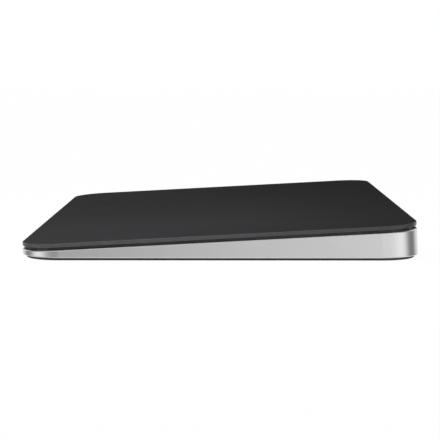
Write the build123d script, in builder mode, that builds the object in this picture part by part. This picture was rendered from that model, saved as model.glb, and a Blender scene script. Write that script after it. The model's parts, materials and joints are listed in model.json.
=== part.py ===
from build123d import *
import math
import os

# Wedge-shaped desktop trackpad, in millimetres. X is across, Y runs from the thin front edge
# to the thick rear edge, Z is up. The origin is on the table, under the middle of the footprint.
# Drops are measured square to the glass, runs are measured up its slope from the front edge.

# Overall size
width = 160.0
depth = 114.9
front_height = 4.85
rear_height = 11.0
corner_radius = 11.4
overrun = 1.0

# Glass top and the layers bonded under it
glass_thickness = 1.3
glass_top_round = 0.2
glass_bottom_round = 0.45
glass_inset = 0.05
glass_adhesive_thickness = 0.1
glass_adhesive_margin = 0.3
sensor_board_thickness = 0.8
sensor_board_inset = 1.5
stiffener_thickness = 0.4
stiffener_margin = 1.5
stiffener_window = (40.0, 18.0)
stiffener_window_pitch = (68.0, 40.0)
stiffener_window_round = 3.0
sensor_chip_size = 9.0
sensor_chip_height = 0.55

# Travel of the touch plate
press_travel = 0.12
shift_travel = 0.1
running_gap = 0.2

# Enclosure
slot_gap = 0.7
rim_wall = 1.2
rim_chamfer = 0.2
bottom_chamfer = 0.25
deck_gap = 0.4
deck_thickness = 0.7
flange_width = 3.2
front_block = 24.0
rib_width = 2.0
floor_thickness = 0.85
boss_radius = 1.9

# Base plate and feet
foot_height = 0.55
foot_recess = 0.2
foot_radius = 4.5
foot_round = 0.2
foot_side = 17.0
foot_end = 15.0
foot_fit = 0.1
base_thickness = 0.67
base_adhesive_thickness = 0.1
base_inset = 1.1
base_round = 0.1
base_adhesive_margin = 0.25

# Flexures that carry the touch plate, and their pads
pad_thickness = 0.3
pad_length = 8.0
pad_width = 6.0
flexure_length = 30.0
flexure_width = 9.0
flexure_thickness = 0.4
flexure_round = 1.5
flexure_span = 17.0
flexure_sink = 0.35
flexure_side = 23.0
flexure_front = 16.0
flexure_rear = 17.0
flexure_well_gap = 0.3
flexure_screw_pitch = 24.0
arm_offset = 6.6
arm_length = 3.4
arm_notch = 2.0
notch_round = 0.5
gauge_length = 2.6
gauge_width = 2.2
gauge_thickness = 0.06

# Screws
screw_radius = 0.7
screw_head_radius = 1.35
screw_head_height = 0.4
screw_bite = 1.2
screw_clearance = 0.05
screw_head_clearance = 0.6
driver_slot = 0.35
driver_depth = 0.2

# Batteries, in a bay that starts at a share of the body's length
bay_share = 0.52856
cell_width = 54.0
cell_gap = 5.0
cell_side_gap = 1.0
cell_front_gap = 1.0
cell_round = 1.2
cell_floor_gap = 0.2
battery_adhesive_thickness = 0.1
battery_adhesive_width = 18.0
battery_adhesive_margin = 1.5
battery_service = 9.8
battery_board_width = 28.0
battery_board_depth = 4.0
battery_board_thickness = 0.6
battery_board_gap = 1.0
tab_width = 3.0
tab_thickness = 0.12
tab_places = (5.5, 11.0)
tab_overlap = 2.0
flex_thickness = 0.12

# Logic board
standoff = 0.6
logic_board_width = 74.0
logic_board_depth = 10.6
logic_board_thickness = 0.8
logic_board_margin = 0.4
logic_board_round = 0.8
board_screw_inset = 3.6
processor_size = 7.6
processor_height = 0.9
processor_place = -16.5
shield_side_gap = 3.13
shield_chip_gap = 0.7
shield_depth = 8.4
shield_height = 1.3
shield_wall = 0.2
chip_width = 4.2
chip_height = 0.8
chip_inset = 7.2
capacitor_length = 1.0
capacitor_width = 0.5
capacitor_pitch = 1.5
capacitor_rows = 2
capacitor_columns = 4
capacitor_place = 8.3
capacitor_inset = 6.6
plug_width = 6.0
plug_depth = 2.4
plug_height = 0.8
plug_inset = 0.6
battery_plug_place = 9.0

# Touch sensor flex and its socket on top of the logic board
sensor_flex_place = 22.0
sensor_flex_width = 10.0
sensor_flex_loop = 1.5
sensor_flex_lead = 3.5
sensor_flex_tail = 3.0
sensor_socket_width = 12.0
sensor_socket_depth = 2.8
sensor_socket_height = 0.95
window_gap = 0.6

# Antenna strip on the deck, with a tail down to the logic board
antenna_place = -23.0
antenna_length = 30.0
antenna_width = 5.0
antenna_inset = 1.8
antenna_tail_width = 9.0
antenna_tail_end = 0.5
antenna_lip = 1.0
antenna_bend = 0.3

# Charging port
shell_width = 8.94
shell_height = 3.26
shell_length = 7.35
shell_wall = 0.3
shell_fit = 0.1
shell_recess = 0.25
port_chamfer = 0.2
tongue_width = 6.69
tongue_thickness = 0.7
tongue_length = 5.4
tongue_root = 1.2
tongue_root_width = 7.4
tongue_root_height = 2.0
contact_width = 0.25
contact_pitch = 0.5
contact_count = 12
contact_length = 3.6
contact_height = 0.04
bracket_thickness = 0.3
bracket_depth = 3.4
bracket_ear = 5.0
bracket_inset = 0.5

# Power switch
switch_side = 27.0
switch_travel = 2.4
switch_opening_height = 2.3
knob_length = 5.2
knob_fit = 0.12
knob_thickness = 0.95
knob_recess = 0.2
knob_groove = 0.3
knob_groove_depth = 0.15
knob_groove_pitch = 0.8
knob_groove_count = 3
rear_skin = 1.3
label_thickness = 0.12
stem_width = 1.6
stem_height = 0.8
slider_length = 4.6
slider_height = 1.8
slider_depth = 1.3
switch_gap = 0.1
switch_wall = 0.5
switch_ear = 3.0
switch_ear_height = 0.9
pin_width = 0.6
pin_length = 1.4
pin_height = 0.1
pin_pitch = 1.6
pin_count = 3
switch_flex_width = 1.8
switch_flex_ramp = 9.9
switch_flex_overlap = 3.0

# Haptic actuator
armature_foot = 2.0
armature_half = 1.5
armature_foot_height = 0.5
armature_margin = 0.5
core_gap = 0.3
leg_length = 9.0
core_back_width = 3.0
core_depth = 15.0
outer_leg = 2.0
centre_leg = 3.0
bobbin_wall = 0.2
bobbin_fit = 0.05
bobbin_flange = 0.3
bobbin_end_gap = 0.4
coil_build = 0.4
coil_round = 0.5
haptic_floor_gap = 0.2
haptic_frame_thickness = 0.4
haptic_ear = 8.0
haptic_rib = 3.0
haptic_seat_margin = 2.0
haptic_screw_pitch = 9.0
haptic_flex_width = 3.6
haptic_flex_start = 5.0
haptic_flex_ramp = 2.5

# Slope of the glass and the frames that follow it
slope = math.atan2(rear_height - front_height, depth)
top_plane = Plane(
    origin=(0, -depth / 2, front_height),
    x_dir=(1, 0, 0),
    z_dir=(0, -math.sin(slope), math.cos(slope)),
)
out_axis = Axis((0, 0, 0), (0, -math.sin(slope), math.cos(slope)))
up_slope_axis = Axis((0, 0, 0), (0, math.cos(slope), math.sin(slope)))


def layer(drop):
    """Plane parallel to the glass: X across, Y up the slope."""
    return top_plane.offset(-drop)


def station(run):
    """Plane square to the slope, facing the rear: X across, Y down from the glass."""
    return Plane(top_plane.from_local_coords((0, run, 0)), top_plane.x_dir, top_plane.y_dir)


def profile(across):
    """Upright plane along the slope: X up the slope, Y out of the glass."""
    return Plane(top_plane.from_local_coords((across, 0, 0)), top_plane.y_dir, top_plane.x_dir)


def drop_at(height, run):
    """Drop below the glass, at that run, of a level plane at that height."""
    return (front_height + run * math.sin(slope) - height) / math.cos(slope)


# Heights of the level layers
base_top = foot_height + base_thickness
enclosure_bottom = base_top + base_adhesive_thickness

# Length of the body along the slope, so that its foot ends at the overall depth
slab_length = depth * math.cos(slope) + (enclosure_bottom - front_height) * math.sin(slope)

# Drops of the layers, from the glass down
sensor_board_drop = glass_thickness + glass_adhesive_thickness
stiffener_drop = sensor_board_drop + sensor_board_thickness
stiffener_bottom = stiffener_drop + stiffener_thickness
rim_drop = glass_thickness + slot_gap
deck_drop = stiffener_bottom + deck_gap
bay_drop = deck_drop + deck_thickness
flexure_drop = stiffener_bottom + pad_thickness
flexure_seat = flexure_drop + flexure_thickness
flexure_well = flexure_seat + flexure_sink
corner_drop = flexure_well + floor_thickness
wall_reach = rear_height + overrun

# Runs of the inner parts, from the rear wall forward
rear_wall_inside = slab_length - flange_width
logic_board_rear = rear_wall_inside - logic_board_margin
logic_board_front = logic_board_rear - logic_board_depth
cell_rear = logic_board_front - battery_service
bay_front = bay_share * slab_length
cell_front = bay_front + cell_front_gap
cell_depth = cell_rear - cell_front
core_rear = bay_front - haptic_rib
core_front = core_rear - core_depth
core_middle = (core_front + core_rear) / 2
haptic_seat_front = core_front - haptic_seat_margin
battery_half = cell_gap / 2 + cell_width + cell_side_gap
corner_front = slab_length - flexure_rear - flexure_width / 2 - rib_width
corner_side = logic_board_width / 2 + rib_width

# Middles of the flexures, left and right of the front and of the rear
flexure_x = width / 2 - flexure_side
flexure_places = {
    "front_left": (-flexure_x, flexure_front),
    "front_right": (flexure_x, flexure_front),
    "rear_left": (-flexure_x, slab_length - flexure_rear),
    "rear_right": (flexure_x, slab_length - flexure_rear),
}
flexure_points = list(flexure_places.values())
flexure_screw_points = [
    (x + side * flexure_screw_pitch / 2, run) for x, run in flexure_points for side in (-1, 1)
]


def block(left, right, near, far, mode=Mode.ADD):
    """Rectangle between four limits, in the open sketch."""
    with Locations(((left + right) / 2, (near + far) / 2)):
        Rectangle(abs(right - left), abs(far - near), mode=mode)


def outline(inset, mode=Mode.ADD):
    """Rounded outline of the body, drawn in by the inset, in the open sketch."""
    with Locations((0, slab_length / 2)):
        RectangleRounded(width - 2 * inset, slab_length - 2 * inset, corner_radius - inset, mode=mode)


def slab(drop, thickness, left, right, near, far):
    """Plain plate parallel to the glass."""
    with BuildPart() as plate:
        with BuildSketch(layer(drop)):
            block(left, right, near, far)
        extrude(amount=-thickness)
    return plate


def ribbon(points, bend, across, ribbon_width):
    """Flat flex that follows run and drop points, with rounded bends."""
    with BuildPart() as flex:
        with BuildSketch(profile(across)):
            with BuildLine():
                FilletPolyline(*[(run, -drop) for run, drop in points], radius=bend)
            trace(line_width=flex_thickness)
        extrude(amount=ribbon_width / 2, both=True)
    return flex


def screws(points, seat, length, towards_glass):
    """Group of pan-head screws whose heads bear on one layer."""
    way = 1 if towards_glass else -1
    with BuildPart() as group:
        with BuildSketch(layer(seat)):
            with Locations(*points):
                Circle(screw_radius)
        extrude(amount=way * length)
        with BuildSketch(layer(seat)):
            with Locations(*points):
                Circle(screw_head_radius)
        extrude(amount=-way * screw_head_height)
        with BuildSketch(layer(seat + way * screw_head_height)):
            with Locations(*points):
                Rectangle(2 * screw_radius, driver_slot)
                Rectangle(driver_slot, 2 * screw_radius)
        extrude(amount=way * driver_depth, mode=Mode.SUBTRACT)
    return group


pieces = {}

# Touch plate: glass, adhesive, sensor board and steel stiffener
with BuildPart() as top_glass:
    with BuildSketch(layer(0)):
        outline(glass_inset)
    extrude(amount=-glass_thickness)
    fillet(top_glass.faces().sort_by(out_axis)[-1].edges(), glass_top_round)
    fillet(top_glass.faces().sort_by(out_axis)[0].edges(), glass_bottom_round)
pieces["top_glass"] = top_glass

with BuildPart() as glass_adhesive:
    with BuildSketch(layer(glass_thickness)):
        outline(sensor_board_inset + glass_adhesive_margin)
    extrude(amount=-glass_adhesive_thickness)
pieces["glass_adhesive"] = glass_adhesive

with BuildPart() as sensor_board:
    with BuildSketch(layer(sensor_board_drop)):
        outline(sensor_board_inset)
    extrude(amount=-sensor_board_thickness)
pieces["sensor_board"] = sensor_board

sensor_socket_front = logic_board_front + plug_inset
sensor_flex_end = sensor_socket_front + sensor_flex_tail
sensor_flex_turn = sensor_socket_front - sensor_flex_lead
sensor_window = (
    sensor_flex_place - sensor_socket_width / 2 - window_gap,
    sensor_flex_place + sensor_socket_width / 2 + window_gap,
    sensor_flex_turn - sensor_flex_loop / 2 - flex_thickness - window_gap,
    sensor_flex_end + window_gap,
)
window_x, window_run = stiffener_window_pitch

with BuildPart() as stiffener_plate:
    with BuildSketch(layer(stiffener_drop)):
        outline(sensor_board_inset + stiffener_margin)
        with Locations((0, slab_length / 2)):
            with GridLocations(window_x, window_run, 2, 2):
                RectangleRounded(*stiffener_window, stiffener_window_round, mode=Mode.SUBTRACT)
        with Locations(*flexure_screw_points):
            Circle(screw_head_radius + screw_head_clearance, mode=Mode.SUBTRACT)
        block(*sensor_window, mode=Mode.SUBTRACT)
    extrude(amount=-stiffener_thickness)
pieces["stiffener_plate"] = stiffener_plate

with BuildPart() as sensor_chip:
    with BuildSketch(layer(stiffener_drop)):
        with Locations((window_x / 2, (slab_length + window_run) / 2)):
            Rectangle(sensor_chip_size, sensor_chip_size)
    extrude(amount=-sensor_chip_height)
pieces["sensor_chip"] = sensor_chip

# Suspension: four flexures with their pads, gauges and screws
with BuildPart() as support_pads:
    with BuildSketch(layer(stiffener_bottom)):
        with Locations(*flexure_points):
            Rectangle(pad_length, pad_width)
    extrude(amount=-pad_thickness)
pieces["support_pads"] = support_pads


def make_flexure(place):
    """Spring steel strip with two narrow arms beside its middle."""
    with BuildPart() as flexure:
        with BuildSketch(layer(flexure_drop)):
            with Locations(place):
                RectangleRounded(flexure_length, flexure_width, flexure_round)
                with GridLocations(2 * arm_offset, flexure_width, 2, 2):
                    RectangleRounded(arm_length, 2 * arm_notch, notch_round, mode=Mode.SUBTRACT)
                with GridLocations(flexure_screw_pitch, flexure_width, 2, 1):
                    Circle(screw_radius + screw_clearance, mode=Mode.SUBTRACT)
        extrude(amount=-flexure_thickness)
    return flexure


for corner, place in flexure_places.items():
    pieces["flexure_" + corner] = make_flexure(place)

with BuildPart() as strain_gauges:
    with BuildSketch(layer(flexure_drop)):
        with Locations(*flexure_points):
            with GridLocations(2 * arm_offset, flexure_width, 2, 1):
                Rectangle(gauge_length, gauge_width)
    extrude(amount=gauge_thickness)
pieces["strain_gauges"] = strain_gauges

pieces["flexure_screws"] = screws(
    flexure_screw_points, flexure_drop, flexure_thickness + screw_bite - screw_clearance, False
)

# Haptic actuator: steel armature on the touch plate, two wound cores on a frame in the enclosure
core_face = armature_half + shift_travel + core_gap
core_heel = core_face + leg_length
core_back = core_heel + core_back_width
winding = coil_build + bobbin_wall + bobbin_fit
core_drop = stiffener_bottom + press_travel + running_gap + winding
frame_drop = drop_at(base_top, core_front) - haptic_floor_gap - winding
core_thickness = frame_drop - core_drop
haptic_half = core_back + haptic_ear
haptic_screw_x = core_back + haptic_ear / 2
haptic_screw_points = [
    (side * haptic_screw_x, core_middle + end * haptic_screw_pitch / 2)
    for side in (-1, 1)
    for end in (-1, 1)
]

with BuildPart() as haptic_armature:
    with BuildSketch(layer(stiffener_bottom)):
        block(-armature_foot, armature_foot, core_front + armature_margin, core_rear - armature_margin)
    extrude(amount=-armature_foot_height)
    with BuildSketch(layer(stiffener_bottom)):
        block(-armature_half, armature_half, core_front + armature_margin, core_rear - armature_margin)
    extrude(amount=stiffener_bottom + press_travel + running_gap - frame_drop)
pieces["haptic_armature"] = haptic_armature


def make_core(side):
    """E-shaped core whose three legs point at the armature."""
    slot = (core_depth - centre_leg) / 2 - outer_leg
    with BuildPart() as core:
        with BuildSketch(layer(core_drop)):
            block(side * core_face, side * core_back, core_front, core_rear)
            for near in (core_front + outer_leg, core_rear - outer_leg - slot):
                block(side * core_face, side * core_heel, near, near + slot, Mode.SUBTRACT)
        extrude(amount=-core_thickness)
    return core


def leg_section(margin, rounding=0, mode=Mode.ADD):
    """Section of a centre leg with a margin all round, in the open sketch."""
    with Locations((core_middle, -core_drop - core_thickness / 2)):
        if rounding:
            RectangleRounded(centre_leg + 2 * margin, core_thickness + 2 * margin, rounding, mode=mode)
        else:
            Rectangle(centre_leg + 2 * margin, core_thickness + 2 * margin, mode=mode)


def make_bobbin(side):
    """Moulded bobbin with a flange at each end."""
    start = core_face + bobbin_end_gap
    end = core_heel - bobbin_end_gap
    lengths = (
        (start, end, bobbin_fit + bobbin_wall),
        (start, start + bobbin_flange, winding),
        (end - bobbin_flange, end, winding),
    )
    with BuildPart() as bobbin:
        for near, far, outer in lengths:
            with BuildSketch(profile(side * near)):
                leg_section(outer)
                leg_section(bobbin_fit, mode=Mode.SUBTRACT)
            extrude(amount=side * (far - near))
    return bobbin


def make_coil(side):
    """Copper winding between the bobbin's flanges."""
    start = core_face + bobbin_end_gap + bobbin_flange
    end = core_heel - bobbin_end_gap - bobbin_flange
    with BuildPart() as coil:
        with BuildSketch(profile(side * start)):
            leg_section(winding, coil_round)
            leg_section(bobbin_fit + bobbin_wall, mode=Mode.SUBTRACT)
        extrude(amount=side * (end - start))
    return coil


for name, side in (("left", -1), ("right", 1)):
    pieces["haptic_core_" + name] = make_core(side)
    pieces["haptic_bobbin_" + name] = make_bobbin(side)
    pieces["haptic_coil_" + name] = make_coil(side)

with BuildPart() as haptic_frame:
    with BuildSketch(layer(frame_drop)):
        block(-haptic_half, haptic_half, core_front, core_rear)
        opening = centre_leg / 2 + winding + running_gap
        for side in (-1, 1):
            block(
                side * (core_face + bobbin_end_gap - running_gap),
                side * (core_heel - bobbin_end_gap + running_gap),
                core_middle - opening,
                core_middle + opening,
                Mode.SUBTRACT,
            )
        with Locations(*haptic_screw_points):
            Circle(screw_radius + screw_clearance, mode=Mode.SUBTRACT)
    extrude(amount=-haptic_frame_thickness)
pieces["haptic_frame"] = haptic_frame
pieces["haptic_screws"] = screws(
    haptic_screw_points,
    frame_drop + haptic_frame_thickness,
    haptic_frame_thickness + screw_bite - screw_clearance,
    True,
)

# Logic board with its chips and sockets, hung from bosses under the deck
logic_board_drop = bay_drop + standoff
logic_board_bottom = logic_board_drop + logic_board_thickness
logic_board_middle = (logic_board_front + logic_board_rear) / 2
board_screw_points = [
    (side * (logic_board_width / 2 - board_screw_inset), logic_board_middle) for side in (-1, 1)
]
bracket_rear = rear_wall_inside - bracket_inset
bracket_middle = bracket_rear - bracket_depth / 2
bracket_half = shell_width / 2 + shell_fit + bracket_thickness
port_screw_points = [(side * (bracket_half + bracket_ear / 2), bracket_middle) for side in (-1, 1)]
chip_place = logic_board_width / 2 - chip_inset
shield_left = bracket_half + bracket_ear + shield_side_gap
shield_right = chip_place - chip_width / 2 - shield_chip_gap
shield_front = logic_board_middle - shield_depth / 2
shield_rear = logic_board_middle + shield_depth / 2

with BuildPart() as logic_board:
    with BuildSketch(layer(logic_board_drop)):
        with Locations((0, logic_board_middle)):
            RectangleRounded(logic_board_width, logic_board_depth, logic_board_round)
        with Locations(*board_screw_points, *port_screw_points):
            Circle(screw_radius + screw_clearance, mode=Mode.SUBTRACT)
    extrude(amount=-logic_board_thickness)
pieces["logic_board"] = logic_board
pieces["logic_board_screws"] = screws(
    board_screw_points,
    logic_board_bottom,
    logic_board_thickness + standoff + deck_thickness - screw_clearance,
    True,
)

with BuildPart() as processor:
    with BuildSketch(layer(logic_board_bottom)):
        with Locations((processor_place, logic_board_middle)):
            Rectangle(processor_size, processor_size)
    extrude(amount=-processor_height)
pieces["processor"] = processor

with BuildPart() as radio_shield:
    with BuildSketch(layer(logic_board_bottom)):
        block(shield_left, shield_right, shield_front, shield_rear)
    extrude(amount=-shield_height)
    with BuildSketch(layer(logic_board_bottom)):
        block(
            shield_left + shield_wall,
            shield_right - shield_wall,
            shield_front + shield_wall,
            shield_rear - shield_wall,
        )
    extrude(amount=shield_wall - shield_height, mode=Mode.SUBTRACT)
pieces["radio_shield"] = radio_shield

with BuildPart() as board_chips:
    with BuildSketch(layer(logic_board_bottom)):
        with Locations((-chip_place, logic_board_middle), (chip_place, logic_board_middle)):
            Rectangle(chip_width, chip_width)
    extrude(amount=-chip_height)
pieces["board_chips"] = board_chips

with BuildPart() as capacitors:
    with BuildSketch(layer(logic_board_bottom)):
        with Locations((-capacitor_place, logic_board_front + capacitor_inset / 2)):
            with GridLocations(capacitor_pitch, capacitor_pitch, capacitor_columns, capacitor_rows):
                Rectangle(capacitor_length, capacitor_width)
    extrude(amount=-capacitor_width)
pieces["capacitors"] = capacitors

plug_front = logic_board_front + plug_inset
plug_drop = logic_board_bottom + plug_height / 2


def make_plug(place):
    """Low connector at the front edge of the logic board's underside."""
    return slab(
        logic_board_bottom,
        plug_height,
        place - plug_width / 2,
        place + plug_width / 2,
        plug_front,
        plug_front + plug_depth,
    )


pieces["haptic_plug"] = make_plug(0)
pieces["battery_plug"] = make_plug(battery_plug_place)

pieces["sensor_socket"] = slab(
    logic_board_drop - sensor_socket_height,
    sensor_socket_height,
    sensor_flex_place - sensor_socket_width / 2,
    sensor_flex_place + sensor_socket_width / 2,
    sensor_socket_front,
    sensor_socket_front + sensor_socket_depth,
)

# Service loop of the touch sensor, from under its board down to the socket
with BuildPart() as sensor_flex:
    with BuildSketch(profile(sensor_flex_place)):
        upper = -stiffener_drop - flex_thickness / 2
        lower = upper - sensor_flex_loop
        middle = (upper + lower) / 2
        with BuildLine():
            Line((sensor_flex_end, upper), (sensor_flex_turn, upper))
            ThreePointArc(
                (sensor_flex_turn, upper),
                (sensor_flex_turn - sensor_flex_loop / 2, middle),
                (sensor_flex_turn, lower),
            )
            Line((sensor_flex_turn, lower), (sensor_socket_front, lower))
        trace(line_width=flex_thickness)
    extrude(amount=sensor_flex_width / 2, both=True)
pieces["sensor_flex"] = sensor_flex

# Antenna strip on the deck, with its tail folded down onto the logic board
antenna_rear = slab_length - rim_wall - antenna_inset
antenna_front = antenna_rear - antenna_width
antenna_tail_front = logic_board_front + antenna_tail_end
antenna_level = deck_drop - flex_thickness / 2
tail_level = logic_board_drop - flex_thickness / 2
antenna_fold = (tail_level - antenna_level) / 2
antenna_slot = (
    antenna_place - antenna_tail_width / 2 - running_gap,
    antenna_place + antenna_tail_width / 2 + running_gap,
    antenna_tail_front - running_gap,
    antenna_front - antenna_fold,
)
antenna_window = (
    antenna_place - antenna_length / 2 + antenna_lip,
    antenna_place + antenna_length / 2 - antenna_lip,
    antenna_front + antenna_lip,
    antenna_rear - antenna_lip,
)

with BuildPart() as antenna:
    with BuildSketch(layer(deck_drop)):
        block(
            antenna_place - antenna_length / 2,
            antenna_place + antenna_length / 2,
            antenna_front,
            antenna_rear,
        )
    extrude(amount=flex_thickness)
    with BuildSketch(profile(antenna_place)):
        with BuildLine():
            FilletPolyline(
                (antenna_front + antenna_lip, -antenna_level),
                (antenna_front - 2 * antenna_fold, -antenna_level),
                (antenna_front - 2 * antenna_fold - flex_thickness, -tail_level),
                (antenna_tail_front, -tail_level),
                radius=antenna_bend,
            )
        trace(line_width=flex_thickness)
    extrude(amount=antenna_tail_width / 2, both=True)
pieces["antenna"] = antenna

# Batteries, their adhesive, protection board, tabs and lead
cell_drop = bay_drop + battery_adhesive_thickness
cell_thickness = drop_at(base_top, cell_front) - cell_floor_gap - cell_drop
battery_board_front = cell_rear + battery_board_gap
battery_board_bottom = bay_drop + battery_board_thickness
lead_level = battery_board_bottom + flex_thickness / 2


def make_cell(side):
    """Flat pouch cell with rounded long edges."""
    near_edge = cell_gap / 2
    with BuildPart() as cell:
        with BuildSketch(layer(cell_drop)):
            block(side * near_edge, side * (near_edge + cell_width), cell_front, cell_rear)
        extrude(amount=-cell_thickness)
        fillet(cell.edges().filter_by(Axis.X).sort_by(out_axis)[:2], min(cell_round, cell_thickness / 3))
    return cell


for name, side in (("left", -1), ("right", 1)):
    pieces["battery_cell_" + name] = make_cell(side)

with BuildPart() as battery_adhesive:
    with BuildSketch(layer(bay_drop)):
        with Locations((0, (cell_front + cell_rear) / 2)):
            for side in (-1, 1):
                with Locations((side * (cell_gap + cell_width) / 2, 0)):
                    with GridLocations(cell_width / 2, cell_depth, 2, 1):
                        Rectangle(battery_adhesive_width, cell_depth - 2 * battery_adhesive_margin)
    extrude(amount=-battery_adhesive_thickness)
pieces["battery_adhesive"] = battery_adhesive

pieces["battery_board"] = slab(
    bay_drop,
    battery_board_thickness,
    -battery_board_width / 2,
    battery_board_width / 2,
    battery_board_front,
    battery_board_front + battery_board_depth,
)

with BuildPart() as battery_tabs:
    with BuildSketch(layer(battery_board_bottom)):
        for place in tab_places:
            for side in (-1, 1):
                block(
                    side * place - tab_width / 2,
                    side * place + tab_width / 2,
                    cell_rear,
                    battery_board_front + tab_overlap,
                )
    extrude(amount=-tab_thickness)
pieces["battery_tabs"] = battery_tabs

lead_start = battery_board_front + tab_overlap + battery_board_gap / 2
lead_fold = plug_front - battery_board_front - battery_board_depth
pieces["battery_lead"] = ribbon(
    [
        (lead_start, lead_level),
        (plug_front - lead_fold, lead_level),
        (plug_front - lead_fold / 2, plug_drop),
        (plug_front, plug_drop),
    ],
    antenna_bend,
    battery_plug_place,
    plug_width - tab_width,
)

haptic_flex_level = frame_drop + haptic_frame_thickness + flex_thickness / 2
deck_flex_level = bay_drop + flex_thickness / 2
pieces["haptic_flex"] = ribbon(
    [
        (core_rear - haptic_flex_start, haptic_flex_level),
        (bay_front, haptic_flex_level),
        (cell_front + haptic_flex_ramp, deck_flex_level),
        (cell_rear - 2 * haptic_flex_ramp, deck_flex_level),
        (cell_rear - haptic_flex_ramp, plug_drop),
        (plug_front, plug_drop),
    ],
    antenna_bend,
    0,
    haptic_flex_width,
)

# Charging port: steel shell, tongue, contacts and the saddle that holds it to the board
shell_drop = logic_board_bottom + shell_height / 2
shell_mouth = slab_length - shell_recess
shell_rear = shell_mouth - shell_length

with BuildPart() as port_shell:
    with BuildSketch(station(shell_rear)):
        with Locations((0, shell_drop)):
            SlotOverall(shell_width, shell_height)
    extrude(amount=shell_length)
    with BuildSketch(station(shell_rear + shell_wall)):
        with Locations((0, shell_drop)):
            SlotOverall(shell_width - 2 * shell_wall, shell_height - 2 * shell_wall)
    extrude(amount=shell_length, mode=Mode.SUBTRACT)
pieces["port_shell"] = port_shell

with BuildPart() as port_tongue:
    with BuildSketch(station(shell_rear + shell_wall)):
        with Locations((0, shell_drop)):
            Rectangle(tongue_root_width, tongue_root_height)
    extrude(amount=tongue_root)
    with BuildSketch(station(shell_rear + shell_wall)):
        with Locations((0, shell_drop)):
            Rectangle(tongue_width, tongue_thickness)
    extrude(amount=tongue_length)
pieces["port_tongue"] = port_tongue

with BuildPart() as port_contacts:
    contact_middle = shell_rear + shell_wall + tongue_root + contact_length / 2
    for face in (-1, 1):
        with BuildSketch(layer(shell_drop + face * tongue_thickness / 2)):
            with Locations((0, contact_middle)):
                with GridLocations(contact_pitch, contact_pitch, contact_count, 1):
                    Rectangle(contact_width, contact_length)
        extrude(amount=-face * contact_height)
pieces["port_contacts"] = port_contacts

with BuildPart() as port_bracket:
    with BuildSketch(station(bracket_rear)):
        saddle = logic_board_bottom + shell_height
        block(-bracket_half, bracket_half, logic_board_bottom, saddle + bracket_thickness)
        block(
            bracket_thickness - bracket_half,
            bracket_half - bracket_thickness,
            logic_board_bottom,
            saddle,
            Mode.SUBTRACT,
        )
        ear_bottom = logic_board_bottom + bracket_thickness
        for side in (-1, 1):
            reach = bracket_half + bracket_ear
            block(side * (bracket_half - bracket_thickness), side * reach, logic_board_bottom, ear_bottom)
    extrude(amount=-bracket_depth)
    with BuildSketch(layer(logic_board_bottom)):
        with Locations(*port_screw_points):
            Circle(screw_radius + screw_clearance)
    extrude(amount=-bracket_thickness, mode=Mode.SUBTRACT)
pieces["port_bracket"] = port_bracket
pieces["port_screws"] = screws(
    port_screw_points,
    logic_board_bottom + bracket_thickness,
    bracket_thickness + logic_board_thickness + standoff + deck_thickness - screw_clearance,
    True,
)

# Power switch: knob in the rear wall, slider behind it in a housing under the deck
switch_x = switch_side - width / 2
knob_height = switch_opening_height - 2 * knob_fit
opening_length = knob_length + switch_travel + 2 * knob_fit
knob_x = switch_x - switch_travel / 2
housing_front = slab_length - rear_skin - label_thickness
cavity_length = slider_length + switch_travel + 2 * switch_gap
housing_length = cavity_length + 2 * switch_wall
housing_height = slider_height + 2 * switch_gap + 2 * switch_wall
housing_depth = slider_depth + 2 * switch_gap + 2 * switch_wall
housing_bottom = corner_drop + housing_height
switch_drop = corner_drop + housing_height / 2
seat_half = housing_length / 2 + switch_ear
knob_back = slab_length - knob_recess - knob_thickness
slider_front = housing_front - switch_wall - switch_gap
stem_slot_length = stem_width + switch_travel + 2 * switch_gap
switch_screw_run = housing_front - housing_depth / 2
switch_screw_points = [
    (switch_x + side * (housing_length + switch_ear) / 2, switch_screw_run) for side in (-1, 1)
]

with BuildPart() as switch_knob:
    with BuildSketch(station(knob_back)):
        with Locations((knob_x, switch_drop)):
            SlotOverall(knob_length, knob_height)
    extrude(amount=knob_thickness)
    with BuildSketch(station(knob_back + knob_thickness)):
        with Locations((knob_x, switch_drop)):
            with GridLocations(knob_groove_pitch, knob_height, knob_groove_count, 1):
                Rectangle(knob_groove, knob_height / 2)
    extrude(amount=-knob_groove_depth, mode=Mode.SUBTRACT)
pieces["switch_knob"] = switch_knob

with BuildPart() as switch_slider:
    with BuildSketch(station(slider_front)):
        with Locations((knob_x, switch_drop)):
            Rectangle(slider_length, slider_height)
    extrude(amount=-slider_depth)
    with BuildSketch(station(slider_front)):
        with Locations((knob_x, switch_drop)):
            Rectangle(stem_width, stem_height)
    extrude(amount=knob_back - slider_front)
pieces["switch_slider"] = switch_slider

with BuildPart() as switch_label:
    with BuildSketch(station(housing_front)):
        block(
            switch_x,
            switch_x + opening_length / 2 + switch_wall,
            corner_drop,
            housing_bottom,
        )
        with Locations((switch_x, switch_drop)):
            Rectangle(stem_slot_length, stem_height + 2 * switch_gap, mode=Mode.SUBTRACT)
    extrude(amount=label_thickness)
pieces["switch_label"] = switch_label

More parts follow.
